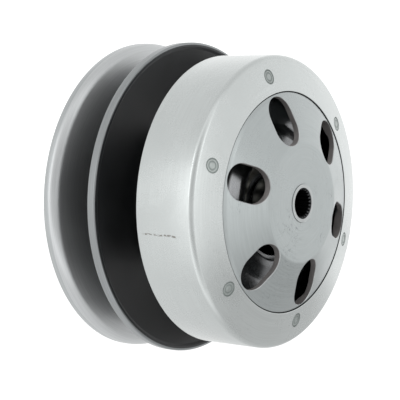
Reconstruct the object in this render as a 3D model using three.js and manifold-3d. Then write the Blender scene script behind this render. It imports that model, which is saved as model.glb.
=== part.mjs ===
// Driven pulley of a belt transmission, with its centrifugal clutch and clutch bell.
//
// Millimetres, +Z up. Every round piece turns about the Y axis. The origin is on that axis, at the
// front face of the bell's splined hub, and +Y points towards the gearbox, so the bell faces -Y.
// Angles are seen from the front: from +X towards +Z.

import * as THREE from "three";
import { mergeVertices } from "three/addons/utils/BufferGeometryUtils.js";
import Module from "manifold-3d";

const wasm = await Module();
wasm.setup();

// ---------------------------------------------------------------- driving dimensions

const FIT_GAP = 0.3; // clearance between pieces that touch
const COARSE = 40; // sides of the large round pieces
const MEDIUM = 32;
const FINE = 24;
const PIN_SIDES = 12;

const BELL = {
  outerR: 77.4,
  drumR: 75, // friction surface
  windowR: 58.4, // round opening in the flange
  frontY: 9.5, // at the edge of the opening
  flangeSlope: 0.283, // the flange is a flat cone that falls back towards the rim
  rearY: 49.5,
  flange: 2.5,
  cornerR: 3,
  innerCornerR: 1.5,
};
const FLANGE_STRETCH = Math.hypot(1, BELL.flangeSlope); // measures a thickness of the cone along Y
const flangeY = (r) => BELL.frontY + (r - BELL.windowR) * BELL.flangeSlope;
const PLATE = {
  faceY: 0.3,
  flatR: 31.4, // the flat centre
  coneR: 56,
  coneSlope: 0.3485,
  shoulderR: 57.9, // where the cone steps back to the rim
  shoulderRound: 1.8,
  rimR: 69.5,
  rimThick: 2.4, // the rim lies behind the flange and has its slope
  thick: 3.2,
};
const SLOT = { count: 6, phase: -12.4, centreR: 44.2, length: 25.6, width: 18.9 };
const HUB = { faceR: 9.9, shoulderR: 14, shoulder: 4, bossR: 12.5, rearY: 24.4 };
const SPLINE = { teeth: 24, tipR: 7.1, rootR: 7.95, rootShare: 0.32, gapShare: 0.68 };

const GROOVE_SLOPE = Math.tan(THREE.MathUtils.degToRad(14));
const ROOT_R = 40; // where the two sheaves meet when the pulley is closed
const FIXED = {
  rimR: 84.8,
  rimFrontY: 98.4, // where the belt face would meet the rim, were that edge not rounded
  rimRound: 3.4,
  rimRearY: 105.5,
  wall: 4.8,
  boreR: 24.3,
  hubR: 31,
  hubRearY: 98.5,
};
const MOVING = { rimR: 84.8, rimFrontY: 70.5, rimRearY: 75.1, boreR: 23.8, hubR: 36.5, hubFrontY: 82.6 };
const SHEAVE_TRAVEL = 12; // the moving sheave slides this far towards the clutch
const TUBE = {
  frontY: 25,
  threadR: 15.2,
  shoulderY: 39.8,
  slideR: 17.8, // the cam sleeve slides on this
  headR: 24, // the fixed sheave sits on this
  headY: 87,
  rearY: 109,
  boreR: 11.5,
  needleR: 13.3,
  needleRearY: 46,
  counterboreR: 17,
  counterbore: 2.7,
};
const SLEEVE = { innerR: 18.1, outerR: 23.5, frontY: 54, rearY: 86.1 };
const SEAL = { innerR: 18.15, outerR: 20.4, depth: 3.3 };
const O_RING = { places: [57.2, 81], ringR: 23.1, wireR: 0.75, grooveR: 22, grooveHalf: 1.1 };
const CAM = { pins: 3, pinR: 3, pinInnerR: 12.2, pinOuterR: 23.2, pinY: 62.8, slotR: 3.8, midR: 20.8 };
const CAM_TURN = SHEAVE_TRAVEL / CAM.midR; // radians over the full travel: a 45 degree helix
const COLLAR = { innerR: 24.15, outerR: 25.4, frontY: 55.5, flangeR: 35, flangeY: 80.8, flange: 1.4 };
const BEARING = { innerR: 8.5, outerR: 20, frontY: 94, width: 12, pitchR: 14.25, ballR: 3, balls: 9 };
const RACE_LAND = 2.35; // from the pitch circle to the edge of each race
const NEEDLE = { innerR: 10.4, outerR: 13, frontY: 27, rearY: 45 };
const CIRCLIP = { innerR: 17.4, outerR: 20, gap: 24, thick: 1.2 };

const SPRING = { meanR: 31, wireR: 2, turns: 5, frontY: 41.9, rearY: 78.6 };
const CARRIER = { boreR: 15.5, centreY: 35.5, rimY: 45.3, thick: 3.8, rimR: 72, dishR: 34.5, flare: 2.6 };
const SHOE = { count: 3, innerR: 49.2, outerR: 69.7, frontY: 21.6, rearY: 44.9, start: -15, end: 94 };
const NOSE_HALF = 4; // half width of the shoe's end at its pivot
const LINING = { innerR: 70, outerR: 73.7, start: 4, end: 90, frontInset: 1.6, rearInset: 0.8 };
const PIVOT = { ringR: 58, pinR: 4.5, frontY: 17.2, grooveY: 18, grooveR: 3.3, groove: 1 };
const E_CLIP = { outerR: 7.2, gap: 70 };
const SIDE_PLATE = {
  outerR: 66,
  flatR: 43,
  frontY: 19.4,
  crestR: 32.4, // the rounded bead round the hole stands towards the bell
  crestY: 15.9,
  crestRound: 3,
  innerR: 28.6,
  lipY: 18.6,
  thick: 1.6,
};
const EAR = { innerR: 40.5, halfWidth: 2.5, halfHeight: 3, near: 4, far: 80 };
const RETURN_SPRING = { ringR: 44, coilR: 2.9, wireR: 0.6, turns: 6, y: 28, clear: 5.2 };
const DAMPER = { ringR: 44.6, radius: 4, angle: 40, frontY: 27 };
const NUT = { acrossFlats: 38, boreR: 15.5, frontY: 25.6, rearY: 33.7, washerR: 24 };

// ---------------------------------------------------------------- materials

const finish = (color, metalness, roughness) => ({ color, metalness, roughness });
const SATIN_STEEL = finish(0xc9d0ce, 0.9, 0.38);
const PLATE_STEEL = finish(0xb0b7b8, 0.9, 0.42);
const POLISHED_STEEL = finish(0xbfc4c6, 1, 0.22);
const COATED_STEEL = finish(0x24272a, 0.3, 0.5);
const DARK_STEEL = finish(0x4c5052, 0.8, 0.5);
const CAST_ALUMINIUM = finish(0xa3a6a8, 0.85, 0.5);
const LINING_BROWN = finish(0x3b342e, 0, 0.9);
const SPRING_STEEL = finish(0x6d7175, 0.9, 0.35);
const ZINC = finish(0xb7b29a, 0.9, 0.35);
const BEARING_STEEL = finish(0xd2d5d8, 1, 0.15);
const RUBBER = finish(0x1b1b1c, 0, 0.8);
const NYLON = finish(0x2a2a2c, 0, 0.5);

// ---------------------------------------------------------------- geometry helpers

const radians = THREE.MathUtils.degToRad;

// [r, y] points of an arc about (centreR, centreY), in degrees from the +r direction towards +y.
function arc(centreR, centreY, radius, from, to, steps) {
  const points = [];
  for (let i = 0; i <= steps; i++) {
    const angle = radians(from + ((to - from) * i) / steps);
    points.push([centreR + radius * Math.cos(angle), centreY + radius * Math.sin(angle)]);
  }
  return points;
}

// A closed [r, y] outline, anticlockwise, turned about the Y axis.
function turned(outline, sides) {
  const points = [...outline, outline[0]].map(([r, y]) => new THREE.Vector2(r, y));
  return new THREE.LatheGeometry(points, sides);
}

// A plain ring between two radii and two places along the axis.
function ring(innerR, outerR, frontY, rearY, sides) {
  return turned([[innerR, frontY], [outerR, frontY], [outerR, rearY], [innerR, rearY]], sides);
}

// A front-view shape, x right and y up, pushed along the axis from frontY to rearY.
function plate(shape, frontY, rearY) {
  const geometry = new THREE.ExtrudeGeometry(shape, { depth: rearY - frontY, bevelEnabled: false });
  return geometry.rotateX(Math.PI / 2).translate(0, rearY, 0);
}

// A cylinder along the axis, centred at an angle on a ring.
function post(ringR, angle, radius, frontY, rearY) {
  return new THREE.CylinderGeometry(radius, radius, rearY - frontY, PIN_SIDES)
    .translate(ringR, (frontY + rearY) / 2, 0)
    .rotateY(-radians(angle));
}

// A closed polygon shape through [x, z] points.
const polygon = (points) => new THREE.Shape(points.map(([x, z]) => new THREE.Vector2(x, z)));

const polar = (r, angle) => [r * Math.cos(radians(angle)), r * Math.sin(radians(angle))];

function solid(geometry) {
  const bare = geometry.index ? geometry.toNonIndexed() : geometry.clone();
  bare.deleteAttribute("normal");
  bare.deleteAttribute("uv");
  const merged = mergeVertices(bare, 1e-4);
  return new wasm.Manifold(
    new wasm.Mesh({
      numProp: 3,
      vertProperties: merged.attributes.position.array,
      triVerts: new Uint32Array(merged.index.array),
    }),
  );
}

function geometryOf(manifold) {
  const { vertProperties, triVerts } = manifold.getMesh();
  const geometry = new THREE.BufferGeometry();
  geometry.setAttribute("position", new THREE.BufferAttribute(new Float32Array(vertProperties), 3));
  geometry.setIndex(new THREE.BufferAttribute(new Uint32Array(triVerts), 1));
  geometry.computeVertexNormals();
  return geometry;
}

function cut(body, tools) {
  return geometryOf(tools.reduce((left, tool) => left.subtract(solid(tool)), solid(body)));
}

function join(parts) {
  return geometryOf(parts.map(solid).reduce((whole, part) => whole.add(part)));
}

// The results of a function of the angle and the index, for a number of equally spaced copies.
function around(count, make) {
  return Array.from({ length: count }, (_, i) => make((360 * i) / count, i));
}

const assembly = new THREE.Group();

function add(name, geometry, look, angle = 0) {
  const mesh = new THREE.Mesh(geometry, new THREE.MeshStandardMaterial(look));
  mesh.name = name;
  mesh.rotation.y = -radians(angle);
  assembly.add(mesh);
}

// A coil about a straight axis from start to end, as one closed wire with a round section.
class Coil extends THREE.Curve {
  constructor(start, end, radius, turns) {
    super();
    this.start = start;
    this.along = end.clone().sub(start);
    const direction = this.along.clone().normalize();
    this.side = new THREE.Vector3(0, 0, 1).cross(direction);
    if (this.side.lengthSq() < 0.01) this.side.set(1, 0, 0);
    this.side.normalize();
    this.up = direction.cross(this.side).normalize();
    this.radius = radius;
    this.turns = turns;
  }
  getPoint(t, target = new THREE.Vector3()) {
    const angle = 2 * Math.PI * this.turns * t;
    return target
      .copy(this.start)
      .addScaledVector(this.along, t)
      .addScaledVector(this.side, this.radius * Math.cos(angle))
      .addScaledVector(this.up, this.radius * Math.sin(angle));
  }
}

function coilGeometry(start, end, radius, turns, wireR, stepsPerTurn, wireSides) {
  const section = polygon(around(wireSides, (angle) => polar(wireR, angle)));
  return new THREE.ExtrudeGeometry(section, {
    extrudePath: new Coil(start, end, radius, turns),
    steps: Math.round(turns * stepsPerTurn),
    bevelEnabled: false,
  });
}

// ---------------------------------------------------------------- clutch bell

function bellDrum() {
  const { outerR, drumR, windowR, frontY, rearY, cornerR, innerCornerR } = BELL;
  const depth = BELL.flange * FLANGE_STRETCH;
  const centreR = outerR - cornerR;
  const centreY = flangeY(centreR) + cornerR * FLANGE_STRETCH;
  const leanBack = THREE.MathUtils.radToDeg(Math.atan(BELL.flangeSlope));
  const filletR = drumR - innerCornerR;
  const outline = [
    [windowR, frontY],
    ...arc(centreR, centreY, cornerR, leanBack - 90, 0, 4),
    [outerR, rearY],
    [drumR, rearY],
    [drumR, flangeY(drumR) + depth + innerCornerR],
    [filletR, flangeY(filletR) + depth],
    [windowR, frontY + depth],
  ];
  add("bell_drum", turned(outline, COARSE), SATIN_STEEL);
}

function roundEndedSlot(centreR, length, width, stepsPerEnd) {
  const reach = (length - width) / 2;
  const outerEnd = arc(centreR + reach, 0, width / 2, -90, 90, stepsPerEnd);
  const innerEnd = arc(centreR - reach, 0, width / 2, 90, 270, stepsPerEnd);
  return polygon([...outerEnd, ...innerEnd]);
}

function bellHubPlate() {
  const { faceY, flatR, coneR, coneSlope, shoulderR, shoulderRound, rimR, rimThick, thick } = PLATE;
  const coneY = (r) => faceY + (r - flatR) * coneSlope;
  const rimY = (r) => flangeY(r) + BELL.flange * FLANGE_STRETCH + FIT_GAP;
  const rimBackY = (r) => rimY(r) + rimThick * FLANGE_STRETCH;
  const boreR = HUB.faceR + FIT_GAP;
  const backR = shoulderR - thick;
  const outline = [
    [boreR, faceY],
    [flatR, faceY],
    [coneR, coneY(coneR)],
    [shoulderR, coneY(coneR) + shoulderRound],
    [shoulderR, rimY(shoulderR)],
    [rimR, rimY(rimR)],
    [rimR, rimBackY(rimR)],
    [backR + shoulderRound, rimBackY(backR + shoulderRound)],
    [backR, coneY(backR) + thick],
    [flatR, faceY + thick],
    [boreR, faceY + thick],
  ];
  const slot = roundEndedSlot(SLOT.centreR, SLOT.length, SLOT.width, 5);
  const cutters = around(SLOT.count, (angle) =>
    plate(slot, faceY - 5, rimBackY(rimR) + 5).rotateY(-radians(SLOT.phase + angle)),
  );
  add("bell_hub_plate", cut(turned(outline, COARSE), cutters), PLATE_STEEL);
}

function bellSplinedHub() {
  const weldY = PLATE.faceY + PLATE.thick + FIT_GAP;
  const shoulderRearY = weldY + HUB.shoulder;
  const outline = [
    [0, 0],
    [HUB.faceR, 0],
    [HUB.faceR, weldY],
    [HUB.shoulderR, weldY],
    [HUB.shoulderR, shoulderRearY],
    [HUB.bossR, shoulderRearY + HUB.shoulderR - HUB.bossR],
    [HUB.bossR, HUB.rearY],
    [0, HUB.rearY],
  ];
  const pitch = 360 / SPLINE.teeth;
  const tooth = [
    [SPLINE.rootR, -SPLINE.rootShare / 2],
    [SPLINE.rootR, SPLINE.rootShare / 2],
    [SPLINE.tipR, SPLINE.gapShare / 2],
    [SPLINE.tipR, 1 - SPLINE.gapShare / 2],
  ];
  const bore = around(SPLINE.teeth, (angle) => tooth.map(([r, share]) => polar(r, angle + pitch * share)));
  const broach = plate(polygon(bore.flat()), -1, HUB.rearY + 1);
  add("bell_splined_hub", cut(turned(outline, MEDIUM), [broach]), PLATE_STEEL);
}

// ---------------------------------------------------------------- pulley

function fixedSheave() {
  const { rimR, rimFrontY, rimRound, rimRearY, wall, boreR, hubR, hubRearY } = FIXED;
  const faceY = (r) => rimFrontY - (rimR - r) * GROOVE_SLOPE;
  const roundR = rimR - rimRound;
  const roundY = faceY(roundR) + rimRound * Math.hypot(1, GROOVE_SLOPE);
  const slope = THREE.MathUtils.radToDeg(Math.atan(GROOVE_SLOPE));
  const edge = 0.8;
  const band = 5; // flat ring at the rear of the rim
  const outline = [
    [boreR, faceY(ROOT_R)],
    [ROOT_R, faceY(ROOT_R)],
    ...arc(roundR, roundY, rimRound, slope - 90, 0, 3),
    [rimR, rimRearY - edge],
    [rimR - edge, rimRearY],
    [rimR - band, rimRearY],
    [rimR - band - 2, faceY(rimR - band - 2) + wall],
    [hubR + band, faceY(hubR + band) + wall],
    [hubR, hubRearY],
    [boreR, hubRearY],
  ];
  add("fixed_sheave", turned(outline, COARSE), POLISHED_STEEL);
}

function pulleyHubTube() {
  const { boreR, needleR, needleRearY, counterboreR, headR, headY, rearY } = TUBE;
  const bearingR = BEARING.outerR + FIT_GAP;
  const bearingY = BEARING.frontY - FIT_GAP;
  const counterboreY = bearingY - TUBE.counterbore;
  const edge = 1;
  const outline = [
    [boreR, needleRearY + 4],
    [needleR, needleRearY],
    [needleR, TUBE.frontY],
    [TUBE.threadR, TUBE.frontY],
    [TUBE.threadR, TUBE.shoulderY],
    [TUBE.slideR, TUBE.shoulderY],
    [TUBE.slideR, headY],
    [headR, headY],
    [headR, rearY - edge],
    [headR - edge, rearY],
    [bearingR, rearY],
    [bearingR, bearingY],
    [counterboreR, bearingY],
    [counterboreR, counterboreY],
    [boreR, counterboreY - 2],
  ];
  const holes = around(CAM.pins, (angle) =>
    radialPin(CAM.pinR + FIT_GAP, boreR - 4, headR, CAM.pinY).rotateY(-radians(angle)),
  );
  add("pulley_hub_tube", cut(turned(outline, FINE), holes), DARK_STEEL);
}

// A cylinder that points outwards from the axis along +X.
function radialPin(radius, innerR, outerR, y) {
  return new THREE.CylinderGeometry(radius, radius, outerR - innerR, PIN_SIDES)
    .rotateZ(Math.PI / 2)
    .translate((innerR + outerR) / 2, y, 0);
}

function guidePins() {
  const pin = radialPin(CAM.pinR, CAM.pinInnerR, CAM.pinOuterR, CAM.pinY);
  around(CAM.pins, (angle, i) => add(`guide_pin_${i + 1}`, pin, BEARING_STEEL, angle));
}

// The cutter of one helical cam slot: a flat slot, wrapped round the sleeve.
function camSlot() {
  const helix = Math.atan2(SHEAVE_TRAVEL, CAM_TURN * CAM.midR);
  const length = Math.hypot(SHEAVE_TRAVEL, CAM_TURN * CAM.midR);
  const halfway = length / 2;
  const flat = [
    ...arc(0, 0, CAM.slotR, 90, 270, 6),
    [halfway, -CAM.slotR],
    ...arc(length, 0, CAM.slotR, -90, 90, 6),
    [halfway, CAM.slotR],
  ];
  const depth = SLEEVE.outerR - SLEEVE.innerR + 6;
  const geometry = new THREE.ExtrudeGeometry(polygon(flat), { depth, bevelEnabled: false });
  const position = geometry.attributes.position;
  for (let i = 0; i < position.count; i++) {
    const u = position.getX(i);
    const v = position.getY(i);
    const r = SLEEVE.innerR - 3 + position.getZ(i);
    const round = (u * Math.cos(helix) + v * Math.sin(helix)) / CAM.midR;
    const y = CAM.pinY + u * Math.sin(helix) - v * Math.cos(helix);
    position.setXYZ(i, r * Math.cos(round), y, r * Math.sin(round));
  }
  return geometry;
}

function camSleeve() {
  const { innerR, outerR, frontY, rearY } = SLEEVE;
  const sealR = SEAL.outerR + FIT_GAP;
  const sealDepth = SEAL.depth + FIT_GAP;
  const outline = [
    [innerR, frontY + sealDepth],
    [sealR, frontY + sealDepth],
    [sealR, frontY],
    [outerR, frontY],
    [outerR, rearY],
    [sealR, rearY],
    [sealR, rearY - sealDepth],
    [innerR, rearY - sealDepth],
  ];
  const grooves = O_RING.places.map((y) =>
    ring(O_RING.grooveR, outerR + 3, y - O_RING.grooveHalf, y + O_RING.grooveHalf, FINE),
  );
  const slots = around(CAM.pins, (angle) => camSlot().rotateY(-radians(angle)));
  add("cam_sleeve", cut(turned(outline, FINE), [...grooves, ...slots]), DARK_STEEL);
}

function sleeveSeals() {
  const { innerR, outerR, depth } = SEAL;
  const frontY = SLEEVE.frontY + FIT_GAP / 2;
  const rearY = SLEEVE.rearY - FIT_GAP / 2;
  add("sleeve_seal_front", ring(innerR, outerR, frontY, frontY + depth, FINE), RUBBER);
  add("sleeve_seal_rear", ring(innerR, outerR, rearY - depth, rearY, FINE), RUBBER);
}

function collarSealRings() {
  O_RING.places.forEach((y, i) => {
    const section = arc(O_RING.ringR, y, O_RING.wireR, 0, 288, 4);
    add(`collar_o_ring_${i + 1}`, turned(section, FINE), RUBBER);
  });
}

function sealCollar() {
  const { innerR, outerR, frontY, flangeR, flangeY, flange } = COLLAR;
  const rearY = flangeY + flange;
  const outline = [
    [innerR, frontY],
    [outerR, frontY],
    [outerR, flangeY],
    [flangeR, flangeY],
    [flangeR, rearY],
    [innerR, rearY],
  ];
  add("seal_collar", turned(outline, FINE), SPRING_STEEL);
}

function movingSheave() {
  const { rimR, rimFrontY, rimRearY, boreR, hubR, hubFrontY } = MOVING;
  const faceY = (r) => rimRearY + (rimR - r) * GROOVE_SLOPE;
  const thick = rimRearY - rimFrontY;
  const lip = 4; // rolled edge round the front of the rim
  const edge = 0.6;
  const outline = [
    [boreR, hubFrontY],
    [hubR, hubFrontY],
    [hubR + 3, faceY(hubR + 3) - thick],
    [rimR - lip, faceY(rimR - lip) - thick],
    [rimR - lip / 2, rimFrontY - edge],
    [rimR - edge, rimFrontY - edge],
    [rimR, rimFrontY],
    [rimR, rimRearY],
    [ROOT_R, faceY(ROOT_R)],
    [boreR, faceY(ROOT_R)],
  ];
  add("moving_sheave", turned(outline, COARSE), COATED_STEEL);
}

function ballBearing() {
  const { innerR, outerR, frontY, width, pitchR, ballR, balls } = BEARING;
  const midY = frontY + width / 2;
  const rearY = frontY + width;
  const raceR = ballR + FIT_GAP;
  const outerLand = pitchR + RACE_LAND;
  const innerLand = pitchR - RACE_LAND;
  const reach = Math.sqrt(raceR ** 2 - RACE_LAND ** 2);
  const outerRing = [
    [outerLand, frontY],
    [outerR, frontY],
    [outerR, rearY],
    [outerLand, rearY],
    [outerLand, midY + reach],
    [pitchR + raceR, midY],
    [outerLand, midY - reach],
  ];
  const innerRing = [
    [innerR, frontY],
    [innerLand, frontY],
    [innerLand, midY - reach],
    [pitchR - raceR, midY],
    [innerLand, midY + reach],
    [innerLand, rearY],
    [innerR, rearY],
  ];
  const cage = ring(pitchR - 0.8, pitchR + 0.8, midY - 1.2, midY + ballR + 0.6, FINE);
  const ball = new THREE.SphereGeometry(ballR * 0.95, 8, 4).translate(pitchR, midY, 0);
  const ballSet = around(balls, (angle) => ball.clone().rotateY(-radians(angle)));
  add("bearing_outer_ring", turned(outerRing, FINE), BEARING_STEEL);
  add("bearing_inner_ring", turned(innerRing, FINE), BEARING_STEEL);
  add("bearing_balls_and_cage", join([cage, ...ballSet]), SPRING_STEEL);
}

function needleBearing() {
  add("needle_bearing", ring(NEEDLE.innerR, NEEDLE.outerR, NEEDLE.frontY, NEEDLE.rearY, FINE), SPRING_STEEL);
}

// An open ring of flat wire, with its gap at +X.
function snapRing(innerR, outerR, gap, steps) {
  const from = gap / 2;
  const to = 360 - gap / 2;
  return polygon([...arc(0, 0, outerR, from, to, steps), ...arc(0, 0, innerR, to, from, steps)]);
}

function bearingCirclip() {
  const { innerR, outerR, gap, thick } = CIRCLIP;
  const frontY = BEARING.frontY + BEARING.width + FIT_GAP;
  const clip = plate(snapRing(innerR, outerR, gap, 16), frontY, frontY + thick);
  add("bearing_circlip", clip, SPRING_STEEL, 90);
}

// ---------------------------------------------------------------- clutch

const eachShoe = (make) => around(SHOE.count, (angle, i) => make(angle, i + 1));

function drivePlate() {
  const { boreR, centreY, rimY, thick, rimR, dishR, flare } = CARRIER;
  const outline = [
    [boreR, centreY],
    [dishR + flare, centreY],
    [dishR + 2 * flare, rimY],
    [rimR, rimY],
    [rimR, rimY + thick],
    [dishR + flare, rimY + thick],
    [dishR, centreY + thick],
    [boreR, centreY + thick],
  ];
  const holes = eachShoe((angle) =>
    post(PIVOT.ringR, angle, PIVOT.pinR + FIT_GAP, rimY - 2, rimY + thick + 2),
  );
  add("clutch_drive_plate", cut(turned(outline, COARSE), holes), DARK_STEEL);
}

function pivotPins() {
  const { ringR, pinR, frontY, grooveY, grooveR, groove } = PIVOT;
  const rearY = CARRIER.rimY + CARRIER.thick;
  const noseR = pinR - 0.3;
  const outline = [
    [0, frontY],
    [noseR, frontY],
    [noseR, grooveY - 0.1],
    [grooveR, grooveY - 0.1],
    [grooveR, grooveY + groove + 0.1],
    [pinR, grooveY + groove + 0.1],
    [pinR, rearY],
    [0, rearY],
  ];
  const pin = turned(outline, PIN_SIDES).translate(ringR, 0, 0);
  const clipShape = snapRing(grooveR + FIT_GAP, E_CLIP.outerR, E_CLIP.gap, 8);
  const clip = plate(clipShape, grooveY, grooveY + groove).translate(ringR, 0, 0);
  eachShoe((angle, number) => {
    add(`pivot_pin_${number}`, pin, SPRING_STEEL, angle);
    add(`pivot_e_clip_${number}`, clip, SPRING_STEEL, angle);
  });
}

function sidePlate() {
  const { outerR, flatR, frontY, crestR, crestY, crestRound, innerR, lipY, thick } = SIDE_PLATE;
  const centreY = crestY + crestRound;
  const body = turned([
    [innerR, lipY],
    ...arc(crestR, centreY, crestRound, 195, 290, 5),
    [flatR, frontY],
    [outerR, frontY],
    [outerR, frontY + thick],
    [flatR - thick / 4, frontY + thick],
    ...arc(crestR, centreY, crestRound - thick, 290, 195, 3),
    [innerR + thick, lipY + thick / 4],
  ], COARSE);
  const holes = eachShoe((angle) => post(PIVOT.ringR, angle, PIVOT.pinR + FIT_GAP, frontY - 2, frontY + 4));
  add("clutch_side_plate", cut(body, holes), SATIN_STEEL);
}

// One hook ear for a return spring, pointing inwards from the shoe at the given angle.
function springEar(angle) {
  const { innerR, halfWidth, halfHeight } = EAR;
  const rootR = SHOE.innerR + 2;
  const shape = polygon([
    [innerR, -halfWidth],
    [rootR, -halfWidth],
    [rootR, halfWidth],
    [innerR, halfWidth],
  ]);
  return plate(shape, RETURN_SPRING.y - halfHeight, RETURN_SPRING.y + halfHeight).rotateY(-radians(angle));
}

function shoeGeometry() {
  const { innerR, outerR, frontY, rearY, start, end } = SHOE;
  const noseR = (innerR + outerR) / 2;
  const outline = polygon([
    ...arc(0, 0, outerR, start + 4, end, 12),
    ...arc(0, 0, innerR, end, start + 3, 10),
    polar(noseR - NOSE_HALF, start),
    polar(noseR + NOSE_HALF, start),
  ]);
  const body = join([plate(outline, frontY, rearY), springEar(EAR.near), springEar(EAR.far)]);
  return cut(body, [post(PIVOT.ringR, 0, PIVOT.pinR + FIT_GAP, frontY - 2, rearY + 2)]);
}

function liningGeometry() {
  const { innerR, outerR, start, end, frontInset, rearInset } = LINING;
  const pad = polygon([...arc(0, 0, outerR, start, end, 10), ...arc(0, 0, innerR, end, start, 10)]);
  return plate(pad, SHOE.frontY + frontInset, SHOE.rearY - rearInset);
}

// Each return spring pulls the free end of one shoe towards the pivot end of the next.
function returnSpringGeometry() {
  const { ringR, coilR, wireR, turns, y, clear } = RETURN_SPRING;
  const [startX, startZ] = polar(ringR, EAR.far + clear);
  const [endX, endZ] = polar(ringR, EAR.near + 360 / SHOE.count - clear);
  const start = new THREE.Vector3(startX, y, startZ);
  const end = new THREE.Vector3(endX, y, endZ);
  return coilGeometry(start, end, coilR, turns, wireR, 7, 4);
}

function shoes() {
  const shoe = shoeGeometry();
  const lining = liningGeometry();
  const spring = returnSpringGeometry();
  const damper = post(DAMPER.ringR, DAMPER.angle, DAMPER.radius, DAMPER.frontY, CARRIER.rimY - FIT_GAP);
  eachShoe((angle, number) => {
    add(`clutch_shoe_${number}`, shoe, CAST_ALUMINIUM, angle);
    add(`shoe_lining_${number}`, lining, LINING_BROWN, angle);
    add(`shoe_return_spring_${number}`, spring, SPRING_STEEL, angle);
    add(`shoe_damper_${number}`, damper, RUBBER, angle);
  });
}

function clutchNut() {
  const { acrossFlats, boreR, frontY, rearY, washerR } = NUT;
  const cornerR = acrossFlats / 2 / Math.cos(Math.PI / 6);
  const hexagon = polygon(around(6, (angle) => polar(cornerR, angle)));
  const bore = new THREE.CylinderGeometry(boreR, boreR, 4 * (rearY - frontY), FINE).translate(0, frontY, 0);
  add("clutch_nut", cut(plate(hexagon, frontY, rearY), [bore]), ZINC);
  const washer = ring(boreR, washerR, rearY + FIT_GAP, CARRIER.centreY - FIT_GAP, FINE);
  add("clutch_lock_washer", washer, ZINC);
}

// ---------------------------------------------------------------- main spring

function mainSpring() {
  const { meanR, wireR, turns, frontY, rearY } = SPRING;
  const start = new THREE.Vector3(0, frontY + wireR, 0);
  const end = new THREE.Vector3(0, rearY - wireR, 0);
  add("main_spring", coilGeometry(start, end, meanR, turns, wireR, 16, 6), SPRING_STEEL);
}

function springSeats() {
  const carrierRearY = CARRIER.centreY + CARRIER.thick;
  const clutchEnd = ring(26.5, 34, carrierRearY + FIT_GAP, SPRING.frontY - FIT_GAP, FINE);
  const sheaveEnd = ring(27.5, 34.5, SPRING.rearY + FIT_GAP, COLLAR.flangeY - FIT_GAP, FINE);
  add("spring_seat_clutch_end", clutchEnd, NYLON);
  add("spring_seat_sheave_end", sheaveEnd, NYLON);
}

bellDrum();
bellHubPlate();
bellSplinedHub();
fixedSheave();
pulleyHubTube();
guidePins();
camSleeve();
sleeveSeals();
collarSealRings();
sealCollar();
movingSheave();
ballBearing();
needleBearing();
bearingCirclip();
drivePlate();
pivotPins();
sidePlate();
shoes();
clutchNut();
mainSpring();
springSeats();

export default assembly;
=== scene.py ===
"""Looks for a scooter's driven pulley, with its centrifugal clutch inside the clutch bell.

Every round piece turns about the Y axis, and the bell's face looks towards -Y. Shapes are drawn in
millimetres as [radius, y] outlines and turned into metres when a mesh is made.
"""

import math

import bmesh
import bpy
from mathutils import Matrix, Vector


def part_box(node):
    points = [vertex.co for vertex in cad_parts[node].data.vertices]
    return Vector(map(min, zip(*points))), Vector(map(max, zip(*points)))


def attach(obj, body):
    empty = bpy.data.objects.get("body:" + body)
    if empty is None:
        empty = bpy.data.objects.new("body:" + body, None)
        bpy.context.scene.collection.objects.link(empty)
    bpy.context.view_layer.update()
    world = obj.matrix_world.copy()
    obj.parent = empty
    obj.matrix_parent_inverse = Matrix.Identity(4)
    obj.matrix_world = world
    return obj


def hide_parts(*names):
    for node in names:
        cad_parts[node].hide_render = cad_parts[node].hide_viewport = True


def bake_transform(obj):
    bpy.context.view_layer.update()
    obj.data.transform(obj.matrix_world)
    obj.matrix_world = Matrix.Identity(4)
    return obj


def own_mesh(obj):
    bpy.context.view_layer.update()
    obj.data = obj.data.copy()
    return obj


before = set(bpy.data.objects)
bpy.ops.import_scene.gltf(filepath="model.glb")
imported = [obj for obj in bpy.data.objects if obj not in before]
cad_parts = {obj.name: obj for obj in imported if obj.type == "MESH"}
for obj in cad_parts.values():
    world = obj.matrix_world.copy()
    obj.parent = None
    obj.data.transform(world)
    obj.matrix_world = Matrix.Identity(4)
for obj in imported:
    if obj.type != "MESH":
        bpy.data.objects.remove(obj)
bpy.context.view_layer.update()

# ---------------------------------------------------------------- driving values, in millimetres

MM = 0.001
SEGMENTS = 240  # steps round the large pieces
SMALL = 48  # steps round pins
AXIS = 0.001  # nearly no radius, where a cutter's outline meets its axis
TIP = 0.01  # the same for a piece's outline


def extent(node):
    """Outer radius, front y and rear y of a round CAD node, in millimetres."""
    low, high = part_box(node)
    return high.x / MM, low.y / MM, high.y / MM


BELL_R, BELL_FRONT, BELL_REAR = extent("bell_drum")
DRUM_R = 75.0
WINDOW_R = 58.4
BELL_FLANGE = 2.5
BELL_CORNER = 3.0
FLANGE_SLOPE = 0.283
FLANGE_DEPTH = BELL_FLANGE * math.hypot(1, FLANGE_SLOPE)  # the flange's thickness along Y
WELD_RING = 65.9
WELD_PHASE = 43.7
# how far off its even place each weld is, in degrees and mm, measured in the photograph and rounded
WELD_DRIFT = ((-2.2, -0.4), (2.4, 1.4), (0.8, 1.6), (-1.7, -1.1), (0.4, -0.6), (-2.3, -0.7))

PLATE_RIM_R, PLATE_FRONT, PLATE_REAR = extent("bell_hub_plate")
PLATE_THICK = 3.2
PLATE_FLAT_R = 31.4
PLATE_SLOPE = 0.3485
PLATE_SHOULDER_R = 57.9
SLOTS = 6
SLOT_PHASE = -12.4
SLOT_R = 44.2
SLOT_LENGTH = 25.6
SLOT_WIDTH = 18.9

HUB_R = 10.1
HUB_BOSS_R = 12.5
SPLINE_TEETH = 24
SPLINE_TIP_R = 7.1
SPLINE_ROOT_R = 7.95

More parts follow.
